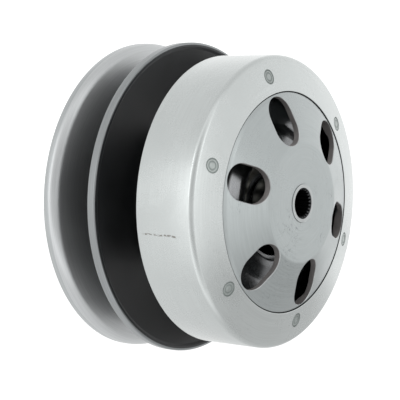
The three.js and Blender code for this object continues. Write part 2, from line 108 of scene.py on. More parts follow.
GROOVE_SLOPE = math.tan(math.radians(14))
ROOT_R = 40.0
FIXED_R, _, FIXED_REAR = extent("fixed_sheave")
FIXED_RIM = 7.1
FIXED_WALL = 4.8
MOVING_R, MOVING_FRONT, _ = extent("moving_sheave")
MOVING_RIM = 4.6

BEARING_PITCH = 14.25
BALLS = 9
BALL_R = 2.95

SIDE_FLAT_FRONT = 19.4
SIDE_BEAD_FRONT = 15.9
THIRD = 120  # degrees between pieces that come in threes
PIVOT_R = 58.0
PIN_R = 4.5
PIN_HOLE_R = 4.6
CLIP_FRONT = 17.9  # the groove that the E-clip sits in, along each pivot pin
CLIP_REAR = 19.1
SHOE_INNER = 49.2
SHOE_OUTER = 69.7
SHOE_START = -15
SHOE_END = 94
EAR_INNER = 40.5
EAR_NEAR = 4
EAR_FAR = 80
SPRING_RING = 44.0
SPRING_Y = 28.0
DAMPER_R = 44.6
DAMPER_TURN = 40

# ---------------------------------------------------------------- mesh helpers


def rounded(corners):
    """A closed outline from (r, y, fillet radius) corners, each replaced by its arc."""
    step, widest = 1.2, 0.2  # longest and widest step along an arc, in mm and radians
    outline = []
    for i, (r, y, radius) in enumerate(corners):
        here = Vector((r, y))
        if radius == 0:
            outline.append((r, y))
            continue
        before = (Vector(corners[i - 1][:2]) - here).normalized()
        after = (Vector(corners[(i + 1) % len(corners)][:2]) - here).normalized()
        half = before.angle(after) / 2
        reach = radius / math.tan(half)
        centre = here + (before + after).normalized() * radius / math.sin(half)
        first = here + before * reach - centre
        last = here + after * reach - centre
        turn = first.angle(last)
        steps = max(3, math.ceil(radius * turn / step), math.ceil(turn / widest))
        for k in range(steps + 1):
            t = k / steps
            arm = first * math.sin((1 - t) * turn) + last * math.sin(t * turn)
            outline.append(tuple(centre + arm / math.sin(turn)))
    return outline


def arc(centre, radius, start, end, steps):
    """[x, z] points of an arc, in degrees."""
    angles = [math.radians(start + (end - start) * i / steps) for i in range(steps + 1)]
    return [(centre[0] + radius * math.cos(a), centre[1] + radius * math.sin(a)) for a in angles]


def polar(r, angle):
    a = math.radians(angle)
    return r * math.cos(a), r * math.sin(a)


def turned(build, angle):
    """Turns what is drawn so far about the Y axis, by the angle as seen from the front."""
    bmesh.ops.rotate(build, verts=build.verts, matrix=Matrix.Rotation(-math.radians(angle), 3, "Y"))
    return build


def moved(build, x, y, z):
    bmesh.ops.translate(build, verts=build.verts, vec=(x, y, z))
    return build


def new_object(name, build, sharp=30):
    """An object from a bmesh drawn in millimetres, smooth but for edges sharper than the angle."""
    bmesh.ops.remove_doubles(build, verts=build.verts, dist=1e-4)
    bmesh.ops.recalc_face_normals(build, faces=build.faces)
    bmesh.ops.scale(build, vec=(MM, MM, MM), verts=build.verts)
    mesh = bpy.data.meshes.new(name)
    build.to_mesh(mesh)
    build.free()
    result = bpy.data.objects.new(name, mesh)
    bpy.context.scene.collection.objects.link(result)
    shade(result, sharp)
    return result


def shade(piece, angle=30):
    piece.data.shade_smooth()
    piece.data.set_sharp_from_angle(angle=math.radians(angle))


def add_lathe(build, outline, segments, centre=(0, 0)):
    """Adds a closed [r, y] outline turned about a line parallel to the Y axis."""
    rings = []
    for i in range(segments):
        c, s = math.cos(math.tau * i / segments), math.sin(math.tau * i / segments)
        rings.append([build.verts.new((centre[0] + r * c, y, centre[1] + r * s)) for r, y in outline])
    count = len(outline)
    for i in range(segments):
        here, there = rings[i], rings[(i + 1) % segments]
        for j in range(count):
            k = (j + 1) % count
            build.faces.new((here[j], here[k], there[k], there[j]))


def lathe(name, corners, segments=SEGMENTS, centre=(0, 0)):
    build = bmesh.new()
    add_lathe(build, rounded(corners), segments, centre)
    return new_object(name, build)


def add_prism(build, outline, front, rear, bevel=0.0):
    """Adds an [x, z] outline pushed from front to rear, with both rims bevelled."""
    top = [build.verts.new((x, front, z)) for x, z in outline]
    bottom = [build.verts.new((x, rear, z)) for x, z in outline]
    build.faces.new(top)
    build.faces.new(bottom)
    count = len(outline)
    for i in range(count):
        k = (i + 1) % count
        build.faces.new((top[i], top[k], bottom[k], bottom[i]))
    if bevel:
        rims = [e for v in top + bottom for e in v.link_edges if e.verts[0].co.y == e.verts[1].co.y]
        bmesh.ops.recalc_face_normals(build, faces=build.faces)
        bmesh.ops.bevel(build, geom=list(set(rims)), offset=bevel, segments=3, profile=0.5,
                        affect="EDGES", clamp_overlap=True)


def prism(name, outline, front, rear, bevel=0.0):
    build = bmesh.new()
    add_prism(build, outline, front, rear, bevel)
    return new_object(name, build)


def add_sweep(build, path, radius, sides=10):
    """Adds a round wire along a path, with flat ends, carrying its frame along without twist."""
    points = [Vector(p) for p in path]
    normal = (points[1] - points[0]).orthogonal().normalized()
    rings = []
    for i, point in enumerate(points):
        ahead = points[min(i + 1, len(points) - 1)] - points[max(i - 1, 0)]
        ahead.normalize()
        normal = (normal - ahead * normal.dot(ahead)).normalized()
        side = ahead.cross(normal)
        rings.append([
            build.verts.new(point + radius * (normal * math.cos(a) + side * math.sin(a)))
            for a in (math.tau * k / sides for k in range(sides))
        ])
    for here, there in zip(rings, rings[1:]):
        for j in range(sides):
            k = (j + 1) % sides
            build.faces.new((here[j], here[k], there[k], there[j]))
    build.faces.new(rings[0])
    build.faces.new(rings[-1])


def boolean(piece, cutters, operation="DIFFERENCE"):
    """Cuts the piece with each cutter in turn, or joins it to them, and removes the cutters."""
    for cutter in cutters:
        step = piece.modifiers.new("cut", "BOOLEAN")
        step.operation = operation
        step.solver = "EXACT"
        step.material_mode = "TRANSFER" if cutter.data.materials else "INDEX"
        step.object = cutter
    graph = bpy.context.evaluated_depsgraph_get()
    mesh = bpy.data.meshes.new_from_object(piece.evaluated_get(graph))
    piece.modifiers.clear()
    piece.data = mesh
    for cutter in cutters:
        bpy.data.objects.remove(cutter)
    shade(piece)


def copy_turned(piece, name, angle):
    """A copy of a piece, turned about the Y axis by the angle as seen from the front."""
    twin = piece.copy()
    twin.data = piece.data.copy()
    twin.name = name
    twin.data.transform(Matrix.Rotation(-math.radians(angle), 4, "Y"))
    bpy.context.scene.collection.objects.link(twin)
    return twin


# ---------------------------------------------------------------- material helpers


class Nodes:
    """Short ways to add nodes to a node tree."""

    def __init__(self, tree):
        self.tree = tree

    def node(self, kind, settings=None, **inputs):
        made = self.tree.nodes.new("ShaderNode" + kind)
        for key, value in (settings or {}).items():
            setattr(made, key, value)
        for key, value in inputs.items():
            self.plug(made.inputs[key], value)
        return made

    def plug(self, socket, value):
        if isinstance(value, bpy.types.NodeSocket):
            self.tree.links.new(value, socket)
        else:
            socket.default_value = value

    def math(self, operation, *values, kind="Math", output=0):
        made = self.node(kind, {"operation": operation})
        for socket, value in zip(made.inputs, values):
            self.plug(socket, value)
        return made.outputs[output]

    def vector(self, operation, *values, output="Vector"):
        return self.math(operation, *values, kind="VectorMath", output=output)

    def spread(self, value, low, high, to_low, to_high):
        """Maps value from low..high to to_low..to_high, smoothly and without overshoot."""
        made = self.node("MapRange", {"interpolation_type": "SMOOTHSTEP"})
        for key, number in zip(("Value", "From Min", "From Max", "To Min", "To Max"),
                               (value, low, high, to_low, to_high)):
            self.plug(made.inputs[key], number)
        return made.outputs["Result"]

    def mix(self, factor, first, second, blend="MIX"):
        made = self.node("Mix", {"data_type": "RGBA", "blend_type": blend})
        self.plug(made.inputs[0], factor)
        self.plug(made.inputs[6], first)
        self.plug(made.inputs[7], second)
        return made.outputs[2]

    def grey_ramp(self, value, stops):
        """A grey for a value from -1 to 1, by stops of (place from 0 to 1, level)."""
        shift = self.node("MapRange", Value=value)
        shift.inputs["From Min"].default_value = -1.0
        made = self.node("ValToRGB", Fac=shift.outputs["Result"])
        for i, (place, level) in enumerate(stops):
            stop = made.color_ramp.elements[i] if i < 2 else made.color_ramp.elements.new(place)
            stop.position = place
            stop.color = (level, level, level, 1.0)
        return made.outputs["Color"]


class Look(Nodes):
    """A material with one Principled shader."""

    def __init__(self, name, metallic=1.0, anisotropic=0.0, coat=0.0):
        self.material = bpy.data.materials.new(name)
        self.material.use_nodes = True
        super().__init__(self.material.node_tree)
        self.shader = self.tree.nodes["Principled BSDF"]
        self.shader.inputs["Metallic"].default_value = metallic
        self.shader.inputs["Anisotropic"].default_value = anisotropic
        self.shader.inputs["Coat Weight"].default_value = coat
        self.shader.inputs["Coat Roughness"].default_value = 0.25
        self.place = self.node("TexCoord").outputs["Object"]

    def noise(self, scale, detail=3.0, roughness=0.5):
        made = self.node("TexNoise", Vector=self.place, Scale=scale, Detail=detail, Roughness=roughness)
        return made.outputs[0]

    def radius(self):
        """Distance from the shaft's axis, in metres."""
        parts = self.node("SeparateXYZ", Vector=self.place).outputs
        squares = [self.math("POWER", parts[axis], 2.0) for axis in "XZ"]
        return self.math("SQRT", self.math("ADD", *squares))

    def spun(self, fine, turns):
        """Noise drawn out round the axis: fine per metre across the marks, turns round the circle."""
        parts = self.node("SeparateXYZ", Vector=self.place).outputs
        r = self.radius()
        across = self.node("CombineXYZ")
        self.plug(across.inputs["X"], self.math("MULTIPLY", self.math("DIVIDE", parts["X"], r), turns))
        self.plug(across.inputs["Y"], self.math("MULTIPLY", self.math("DIVIDE", parts["Z"], r), turns))
        self.plug(across.inputs["Z"], self.math("MULTIPLY", r, fine))
        made = self.node("TexNoise", {"noise_dimensions": "4D"}, Vector=across.outputs[0], Scale=1.0,
                         Detail=2.0)
        self.plug(made.inputs["W"], self.math("MULTIPLY", parts["Y"], fine))
        return made.outputs[0]

    def bump(self, height, strength, distance, normal=None):
        made = self.node("Bump", Strength=strength, Distance=distance, Height=height)
        if normal is not None:
            self.plug(made.inputs["Normal"], normal)
        return made.outputs["Normal"]

    def colour(self, value):
        self.plug(self.shader.inputs["Base Color"], value)

    def rough(self, value):
        self.plug(self.shader.inputs["Roughness"], value)

    def normal(self, value):
        self.plug(self.shader.inputs["Normal"], value)


def shades(colour, factor):
    """The colour times a factor, as a shader colour."""
    return tuple(min(1.0, c * factor) for c in colour) + (1.0,)


def steel(name, colour, rough, spun_scale, spun_depth, smudge=0.08, grain=0.15, anisotropic=0.0,
          vary=0.06):
    """Machined metal: marks round the axis, a fine random grain, and soft smudges.

    With anisotropic, the turning marks spread what it mirrors along the radius.
    """
    look = Look(name, anisotropic=anisotropic)
    if anisotropic:
        round_axis = look.node("Tangent", {"direction_type": "RADIAL", "axis": "Y"})
        look.plug(look.shader.inputs["Tangent"], round_axis.outputs[0])
        look.shader.inputs["Anisotropic Rotation"].default_value = 0.25
    cloud = look.noise(28.0, 4.0, 0.6)
    marks = look.spun(spun_scale, 2.5)
    speck = look.noise(2600.0, 2.0, 0.7)
    low, high = shades(colour, 1 - smudge), shades(colour, 1 + smudge)
    tone = look.mix(look.spread(cloud, 0.32, 0.68, 0.0, 1.0), low, high)
    dark_marks = look.mix(look.spread(marks, 0.3, 0.7, 0.0, 1.0), shades(colour, 1 - grain), tone)
    look.colour(dark_marks)
    look.rough(look.math("ADD", look.spread(cloud, 0.3, 0.7, rough - vary, rough + vary),
                         look.spread(speck, 0.3, 0.7, -vary / 2, vary / 2)))
    first = look.bump(marks, spun_depth, 0.00006)
    look.normal(look.bump(speck, 0.12, 0.00003, first))
    return look


def scratched(look, colour, amount):
    """Adds fine scratches in random directions, kept to some patches."""
    lines = look.node("TexNoise", Vector=look.node(
        "Mapping", Vector=look.place, Rotation=(0.5, 0.4, 0.9), Scale=(1.0, 14.0, 1.0)).outputs[0],
        Scale=160.0, Detail=2.0, Distortion=0.6).outputs[0]
    off_line = look.math("ABSOLUTE", look.math("SUBTRACT", lines, 0.5))
    thin = look.math("SUBTRACT", 1.0, look.spread(off_line, 0.0, 0.012, 0.0, 1.0))
    patches = look.spread(look.noise(45.0, 1.0), 0.5, 0.66, 0.0, 1.0)
    share = look.math("MULTIPLY", look.math("MULTIPLY", thin, patches), amount)
    current = look.shader.inputs["Base Color"].links[0].from_socket
    look.colour(look.mix(share, current, shades(colour, 1.0)))


def rubber_look(name, colour, rough):
    look = Look(name, metallic=0.0)
    grain = look.noise(900.0, 4.0, 0.6)
    dust = look.noise(40.0, 4.0, 0.6)
    dusty = look.spread(dust, 0.35, 0.75, 0.0, 1.0)
    look.colour(look.mix(dusty, shades(colour, 0.8), shades(colour, 1.6)))
    look.rough(look.spread(dust, 0.3, 0.7, rough - 0.08, rough + 0.08))
    look.normal(look.bump(grain, 0.25, 0.0001))
    return look


def cast_look(name, colour, rough, metallic=1.0, scale=700.0):
    look = Look(name, metallic=metallic)
    lumps = look.noise(scale, 5.0, 0.65)
    cloud = look.noise(60.0, 4.0, 0.6)
    cloudy = look.spread(cloud, 0.3, 0.7, 0.0, 1.0)
    look.colour(look.mix(cloudy, shades(colour, 0.78), shades(colour, 1.12)))
    look.rough(look.math("ADD", look.spread(cloud, 0.3, 0.7, rough - 0.06, rough + 0.06),
                         look.spread(lumps, 0.3, 0.7, -0.06, 0.06)))
    look.normal(look.bump(lumps, 0.5, 0.00012))
    return look


# ---------------------------------------------------------------- materials

SATIN = (0.55, 0.577, 0.572)
PLATE_TONE = (0.41, 0.44, 0.44)


def scraped(look, z, front, rear):
    """A broken dark scrape along the drum's near side, at height z from y front to y rear, in metres."""
    parts = look.node("SeparateXYZ", Vector=look.place).outputs
    wander = look.math("MULTIPLY", look.math("SUBTRACT", look.noise(60.0, 2.0), 0.5), 0.004)
    away = look.math("ABSOLUTE", look.math("SUBTRACT", look.math("ADD", parts["Z"], wander), z))
    line = look.spread(away, 0.00015, 0.0006, 1.0, 0.0)
    ends = look.math("MULTIPLY", look.spread(parts["Y"], front, front + 0.002, 0.0, 1.0),
                     look.spread(parts["Y"], rear - 0.002, rear, 1.0, 0.0))
    side = look.spread(parts["X"], -0.01, 0.0, 1.0, 0.0)
    dashes = look.spread(look.noise(420.0, 2.0, 0.7), 0.44, 0.58, 0.0, 1.0)
    share = look.math("MULTIPLY", look.math("MULTIPLY", line, ends), look.math("MULTIPLY", side, dashes))
    current = look.shader.inputs["Base Color"].links[0].from_socket
    look.colour(look.mix(look.math("MULTIPLY", share, 0.75), current, (0.11, 0.09, 0.07, 1.0)))


def drum_material():
    look = steel("drum_satin_steel", SATIN, 0.27, 2600.0, 0.05, smudge=0.045, grain=0.04, vary=0.04)
    scratched(look, (0.25, 0.26, 0.26), 0.35)
    scraped(look, -0.0172, 0.022, 0.0465)
    return look


def plate_material():
    look = steel("hub_plate_steel", PLATE_TONE, 0.33, 3200.0, 0.2, smudge=0.05, grain=0.08)
    scratched(look, (0.14, 0.15, 0.16), 0.6)
    return look


def coat_material():
    """Black coating with a soft sheen, thinner and greyer towards the rim."""
    look = Look("black_coating", metallic=0.0, coat=0.05)
    look.shader.inputs["Specular IOR Level"].default_value = 0.35
    peel = look.noise(500.0, 3.0, 0.6)
    cloud = look.noise(35.0, 3.0, 0.6)
    edge = look.spread(look.radius(), 0.080, 0.0862, 0.0, 1.0)
    cloudy = look.spread(cloud, 0.3, 0.7, 0.0, 1.0)
    base = look.mix(cloudy, (0.012, 0.0135, 0.0145, 1.0), (0.021, 0.023, 0.025, 1.0))
    look.colour(look.mix(look.math("MULTIPLY", edge, 0.6), base, (0.06, 0.065, 0.07, 1.0)))
    look.rough(look.spread(cloud, 0.3, 0.7, 0.36, 0.46))
    look.normal(look.bump(peel, 0.18, 0.00008))
    return look


DRUM = drum_material()
# The bell's inside is painted dark: painted shade inside the drum, over the steel of its friction face.
DRUM_INSIDE_PAINTED_SHADE = steel("drum_friction_face_painted_shade", (0.20, 0.20, 0.195), 0.3, 5200.0, 0.5, grain=0.3)
WELD = cast_look("spot_weld", (0.39, 0.42, 0.41), 0.38, scale=900.0)
WELD_MARK = cast_look("spot_weld_ring", (0.27, 0.30, 0.29), 0.42, scale=900.0)
PLATE = plate_material()
CHAMFER = steel("fresh_cut_edge", (0.5, 0.52, 0.52), 0.34, 2000.0, 0.1)
PUNCHED = cast_look("punched_edge", (0.26, 0.245, 0.24), 0.6, metallic=0.2, scale=1500.0)
HUB = steel("hub_turned_steel", (0.46, 0.48, 0.48), 0.33, 4200.0, 0.35, grain=0.15)
# The spline is painted near black: painted shade inside the hub's bore, over bare broached steel.
SPLINE_PAINTED_SHADE = steel("spline_steel_painted_shade", (0.07, 0.072, 0.075), 0.4, 2500.0, 0.2)
FIXED = steel("fixed_sheave_steel", (0.56, 0.575, 0.58), 0.37, 3600.0, 0.35, smudge=0.03, grain=0.1,
              anisotropic=0.4, vary=0.02)
FIXED_RIM_LOOK = steel("fixed_sheave_rim", (0.46, 0.48, 0.485), 0.36, 2600.0, 0.3, grain=0.12)
MOVING_RIM_LOOK = steel("moving_sheave_rim", (0.31, 0.325, 0.33), 0.36, 2600.0, 0.35, grain=0.14)
# The moving sheave's belt face is painted near black: painted shade, so that the fixed sheave's groove
# face mirrors it dark.
BELT_FACE_PAINTED_SHADE = steel("moving_sheave_belt_face_painted_shade", (0.065, 0.067, 0.07), 0.3, 3600.0, 0.5, grain=0.2)
COAT = coat_material()
# Dark phosphated steel for the tube, plates and cage. The same colour on the bell's window wall is
# painted shade of the crevice behind the flange.
DARK_STEEL_AND_SHADE = cast_look("dark_phosphated_steel_and_painted_shade", (0.085, 0.088, 0.09), 0.42, scale=1200.0)
# Side plate steel painted dark: painted shade inside the bell. The seal collar shares it.
SIDE_STEEL_PAINTED_SHADE = steel("side_plate_steel_painted_shade", (0.22, 0.225, 0.23), 0.24, 1800.0, 0.1, smudge=0.05, grain=0.05)
# The shoes' cast aluminium is painted much darker than bare aluminium: painted shade inside the bell.
CAST_PAINTED_SHADE = cast_look("cast_aluminium", (0.12, 0.122, 0.124), 0.55)
LINING = cast_look("brown_friction_lining", (0.05, 0.04, 0.032), 0.85, metallic=0.0, scale=500.0)
SPRING = steel("oiled_spring_steel", (0.20, 0.205, 0.21), 0.3, 1500.0, 0.1, grain=0.2)
ZINC = steel("dulled_zinc_plate", (0.30, 0.29, 0.26), 0.28, 2200.0, 0.15, smudge=0.12)
RACE = steel("ground_bearing_steel", (0.62, 0.63, 0.64), 0.14, 4200.0, 0.08, smudge=0.03, grain=0.04)
RUBBER = rubber_look("black_rubber", (0.018, 0.018, 0.018), 0.62)
NYLON = rubber_look("black_nylon", (0.022, 0.022, 0.024), 0.42)


def paint(piece, looks, choose=None):
    """Gives a piece its materials, and with choose, each face its own one of them."""
    for look in looks:
        piece.data.materials.append(look.material)
    if choose:
        for face in piece.data.polygons:
            face.material_index = choose(face)
    return piece


def dress(piece, body, nodes, looks=(), choose=None):
    """Gives a piece its materials, its body and the CAD nodes it stands for."""
    if looks:
        paint(piece, looks, choose)
    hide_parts(*nodes)
    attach(piece, body)


def repaint(node, look):
    """A CAD node whose shape is right keeps it, with a better material."""
    for material_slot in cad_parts[node].material_slots:
        material_slot.material = look.material


def face_radius(face):
    return math.hypot(face.center.x, face.center.z) / MM


# ---------------------------------------------------------------- clutch bell


def bell_surface(r):
    """Height of the drum's coned flange at a radius, in millimetres."""
    return BELL_FRONT + (r - WINDOW_R) * FLANGE_SLOPE


def weld_centres():
    """Each spot weld's [x, z] centre, a little off its even place as on the real bell."""
    return [polar(WELD_RING + off, WELD_PHASE + 360 / len(WELD_DRIFT) * i + turn)
            for i, (turn, off) in enumerate(WELD_DRIFT)]


def weld_stamp(centre):
    """A shallow stamp with two ring marks that follows the drum's front surface."""
    depths = ((0.0, 0.08), (1.6, 0.06), (1.9, 0.24), (2.2, 0.24), (2.5, 0.04), (3.1, 0.08), (3.3, 0.34),
              (3.7, 0.34), (3.9, -0.06), (4.0, -0.6))
    marks = (0, 1, 1, 1, 0, 1, 1, 1, 0)
    steps = 60
    build = bmesh.new()
    rings = []
    for reach, depth in depths:
        ring = []
        for i in range(steps):
            x, z = polar(reach, 360 * i / steps)
            x, z = centre[0] + x, centre[1] + z
            ring.append(build.verts.new((x, bell_surface(math.hypot(x, z)) + depth, z)))
        rings.append(ring)
    top = build.verts.new((centre[0], BELL_FRONT - 1.0, centre[1]))
    for here, there, mark in zip(rings, rings[1:], marks):
        for i in range(steps):
            k = (i + 1) % steps
            build.faces.new((here[i], here[k], there[k], there[i])).material_index = mark
    for i in range(steps):
        build.faces.new((rings[-1][i], rings[-1][(i + 1) % steps], top))
    return paint(new_object("weld_stamp", build), [WELD, WELD_MARK])


def make_bell_drum():
    drum = lathe("bell_drum_visual", [
        (WINDOW_R, BELL_FRONT, 0.3),
        (BELL_R, bell_surface(BELL_R), BELL_CORNER),
        (BELL_R, BELL_REAR, 0.5),
        (DRUM_R, BELL_REAR, 0.4),
        (DRUM_R, bell_surface(DRUM_R) + FLANGE_DEPTH, 1.5),
        (WINDOW_R, BELL_FRONT + FLANGE_DEPTH, 0.3),
    ])

    def choose(face):
        # painted shade: the window's wall is coloured dark for the shadowed crevice between flange and
        # hub plate
        if face_radius(face) < WINDOW_R + 0.05:
            return 2
        # Inward and rearward faces get the painted shade of the drum's inside.
        outward = face.normal.x * face.center.x + face.normal.z * face.center.z
        return 1 if outward < 0 and face.normal.y > -0.3 or face.normal.y > 0.3 else 0

    paint(drum, [DRUM, DRUM_INSIDE_PAINTED_SHADE, DARK_STEEL_AND_SHADE], choose)
    boolean(drum, [weld_stamp(centre) for centre in weld_centres()])
    dress(drum, "clutch_bell", ["bell_drum"])


def plate_surface(r):
    """Height of the hub plate's front surface at a radius, in millimetres."""
    return PLATE_FRONT + max(0.0, r - PLATE_FLAT_R) * PLATE_SLOPE


def slot_outline():
    """[x, z, normal x, normal z] round one window, along +X."""
    reach = (SLOT_LENGTH - SLOT_WIDTH) / 2
    half = SLOT_WIDTH / 2
    outline = []
    for end, start in ((1, -90), (-1, 90)):
        for i in range(25):
            nx, nz = polar(1, start + 7.5 * i)
            outline.append((SLOT_R + end * reach + nx * half, nz * half, nx, nz))
        for i in range(1, 5):
            outline.append((SLOT_R + end * reach * (1 - 2 * i / 5), end * half, 0, end))
    return outline


def slot_cutter(angle):
    """A straight window with a small chamfer that follows the plate's dished front."""
    chamfer = 0.32
    rows = ((-4.0, chamfer + 4.0), (0.0, chamfer), (chamfer, 0.0), (PLATE_REAR + 3, 0.0))
    build = bmesh.new()
    outline = slot_outline()
    rings = []
    looks = (0, 0, 1)  # the chamfer is bright, and the wall behind it is not
    for depth, spread in rows:
        ring = []
        for x, z, nx, nz in outline:
            x, z = x + nx * spread, z + nz * spread
            y = depth if depth > 2 else plate_surface(math.hypot(x, z)) + depth
            ring.append(build.verts.new((x, y, z)))
        rings.append(ring)
    count = len(outline)
    for here, there, look in zip(rings, rings[1:], looks):
        for i in range(count):
            k = (i + 1) % count
            build.faces.new((here[i], here[k], there[k], there[i])).material_index = look
    build.faces.new(rings[0])
    build.faces.new(rings[-1])
    return paint(new_object("slot_cutter", turned(build, angle)), [CHAMFER, PUNCHED])


def make_hub_plate():
    back = PLATE_SHOULDER_R - PLATE_THICK
    bore = HUB_R + 0.1

    def rim_y(r):
        return bell_surface(r) + FLANGE_DEPTH + 0.15

    plate = lathe("bell_hub_plate_visual", [
        (bore, PLATE_FRONT, 0.08),
        (PLATE_FLAT_R, PLATE_FRONT, 5.0),
        (PLATE_SHOULDER_R - 1.9, plate_surface(PLATE_SHOULDER_R - 1.9), 2.0),
        (PLATE_SHOULDER_R, BELL_FRONT + 0.45, 0.2),
        (PLATE_SHOULDER_R, rim_y(PLATE_SHOULDER_R), 0.3),
        (PLATE_RIM_R, rim_y(PLATE_RIM_R), 0.5),
        (PLATE_RIM_R, PLATE_REAR, 0.5),
        (back + 1.8, PLATE_REAR - (PLATE_RIM_R - back - 1.8) * FLANGE_SLOPE, 1.5),
        (back, plate_surface(back) + PLATE_THICK, 1.2),
        (PLATE_FLAT_R - 0.5, PLATE_FRONT + PLATE_THICK, 3.0),
        (bore, PLATE_FRONT + PLATE_THICK, 0.2),
    ])
    paint(plate, [PLATE])
    boolean(plate, [slot_cutter(SLOT_PHASE + 360 / SLOTS * i) for i in range(SLOTS)])
    dress(plate, "clutch_bell", ["bell_hub_plate"])


def make_splined_hub():
    _, front, rear = extent("bell_splined_hub")
    weld_y = PLATE_FRONT + PLATE_THICK + 0.15
    core, collar = 6.0, 14.0
    hub = lathe("bell_splined_hub_visual", [
        (core, front, 0),
        (HUB_R, front, 0.08),
        (HUB_R, weld_y, 0),
        (collar, weld_y, 0.4),
        (collar, weld_y + 4.2, 0.8),
        (HUB_BOSS_R, weld_y + 5.6, 0.8),
        (HUB_BOSS_R, rear, 0.8),
        (core, rear, 0),
    ], 144)
    pitch = 360 / SPLINE_TEETH
    tooth = ((SPLINE_ROOT_R - 0.1, -0.19), (SPLINE_ROOT_R, -0.13), (SPLINE_ROOT_R, 0.13),
             (SPLINE_ROOT_R - 0.1, 0.19), (SPLINE_TIP_R, 0.36), (SPLINE_TIP_R, 0.64))
    outline = [polar(r, pitch * (i + share)) for i in range(SPLINE_TEETH) for r, share in tooth]
    broach = prism("broach", outline, front - 1, rear + 1)
    entries = []
    for y, way in ((front, 1), (rear, -1)):
        deep = y + way * 1.15
        entry = rounded([(AXIS, y - way, 0), (SPLINE_ROOT_R + 1.3, y - way, 0),
                         (SPLINE_TIP_R - 0.1, deep, 0), (AXIS, deep, 0)])
        build = bmesh.new()
        add_lathe(build, entry, 96)
        entries.append(paint(new_object("entry", build), [SPLINE_PAINTED_SHADE]))
    paint(hub, [HUB])
    # The spline and its entry chamfers carry the painted shade of the bore.
    boolean(hub, [paint(broach, [SPLINE_PAINTED_SHADE]), *entries])
    dress(hub, "clutch_bell", ["bell_splined_hub"])


# ---------------------------------------------------------------- sheaves


def make_fixed_sheave():
    rim_front = FIXED_REAR - FIXED_RIM
    bore, hub, hub_rear = 24.3, 31, 98.5

    def face_y(r):
        return rim_front - (FIXED_R - r) * GROOVE_SLOPE

    sheave = lathe("fixed_sheave_visual", [
        (bore, face_y(ROOT_R), 0.3),
        (ROOT_R, face_y(ROOT_R), 2.0),
        (FIXED_R, rim_front, 5.6),
        (FIXED_R, FIXED_REAR, 1.0),
        (FIXED_R - 5, FIXED_REAR, 1.5),
        (FIXED_R - 7, face_y(FIXED_R - 7) + FIXED_WALL, 1.5),
        (hub + 5, face_y(hub + 5) + FIXED_WALL, 3.0),
        (hub, hub_rear, 1.5),
        (bore, hub_rear, 0.4),
    ])

    def choose(face):
        return 1 if face_radius(face) > FIXED_R - 0.1 or face.normal.y > 0.3 else 0

    dress(sheave, "driven_pulley", ["fixed_sheave"], [FIXED, FIXED_RIM_LOOK], choose)


def make_moving_sheave():
    lip_front = MOVING_FRONT + 0.6
    bare = 1.2  # the coating was machined off this far in from the rim
    bore, hub, hub_front = 23.8, 36.5, 82.6
    rim_rear = lip_front + MOVING_RIM

    def face_y(r):
        return rim_rear + (MOVING_R - r) * GROOVE_SLOPE

    sheave = lathe("moving_sheave_visual", [
        (bore, hub_front, 0.3),
        (hub, hub_front, 2.0),
        (hub + 3, face_y(hub + 3) - MOVING_RIM, 3.0),
        (MOVING_R - 3.6, face_y(MOVING_R - 3.6) - MOVING_RIM, 1.2),
        (MOVING_R - 2.3, lip_front, 0.8),
        (MOVING_R - bare, lip_front, 0),
        (MOVING_R - 0.5, lip_front, 0.2),
        (MOVING_R, lip_front + 0.5, 0.2),
        (MOVING_R, rim_rear, 0.4),
        (ROOT_R, face_y(ROOT_R), 1.0),
        (bore, face_y(ROOT_R), 0.3),
    ])

    def choose(face):
        r = face_radius(face)
        if r > MOVING_R - 0.35:
            return 1
        # Faces looking back into the groove get the belt face's painted shade.
        if face.normal.y > 0.3:
            return 2
        return 1 if r > MOVING_R - bare else 0

    looks = [COAT, MOVING_RIM_LOOK, BELT_FACE_PAINTED_SHADE]
    dress(sheave, "moving_face", ["moving_sheave"], looks, choose)


# ---------------------------------------------------------------- shaft tube, collar, spring, bearing


def make_hub_tube():
    radius, front, rear = extent("pulley_hub_tube")
    crest, valley, pitch, thread_end = 15.15, 14.45, 1.5, 34
    waist, needle_seat, plate_seat, body = 11.5, 13.3, 15.2, 17.8
    shoulder, collar_front = 39.8, 87
    bearing_seat, bearing_stop, stop_r = 20.25, 93.8, 17
    threads = []
    y = front + 0.6
    while y < thread_end:
        threads += [(crest, y, 0), (valley, y + pitch / 2, 0)]
        y += pitch
    tube = lathe("pulley_hub_tube_visual", [
        (waist, 50, 1.0),
        (needle_seat, 46, 0.5),
        (needle_seat, front, 0.3),
        (valley, front, 0),
        *threads,
        (plate_seat, thread_end + 0.6, 0),
        (plate_seat, shoulder, 0),
        (body, shoulder, 0.6),
        (body, collar_front, 0.6),
        (radius, collar_front, 0.5),
        (radius, rear, 1.0),
        (bearing_seat, rear, 0.5),
        (bearing_seat, bearing_stop, 0),
        (stop_r, bearing_stop, 0.4),
        (stop_r, 91, 0.4),
        (waist, 89, 1.0),
    ], 128)
    holes = []
    pin_hole, pin_y = 3.05, 62.8
    for i in range(3):
        build = bmesh.new()
        add_prism(build, arc((0, 0), pin_hole, 0, 348.75, 31), 8, 22)
        bmesh.ops.rotate(build, verts=build.verts, matrix=Matrix.Rotation(-math.pi / 2, 3, "Z"))
        holes.append(new_object("hole", turned(moved(build, 0, pin_y, 0), THIRD * i)))
    boolean(tube, holes)
    dress(tube, "driven_pulley", ["pulley_hub_tube"], [DARK_STEEL_AND_SHADE])


def make_seal_collar():
    radius, front, rear = extent("seal_collar")
    bore, outer, lip = 24.15, 25.4, 1.4
    collar = lathe("seal_collar_visual", [
        (bore, front, 0.4),
        (outer, front, 0.4),
        (outer, rear - lip, 1.0),
        (radius, rear - lip, 0.4),
        (radius, rear, 0.4),
        (bore, rear, 0.5),
    ], 160)
    dress(collar, "moving_face", ["seal_collar"], [SIDE_STEEL_PAINTED_SHADE])


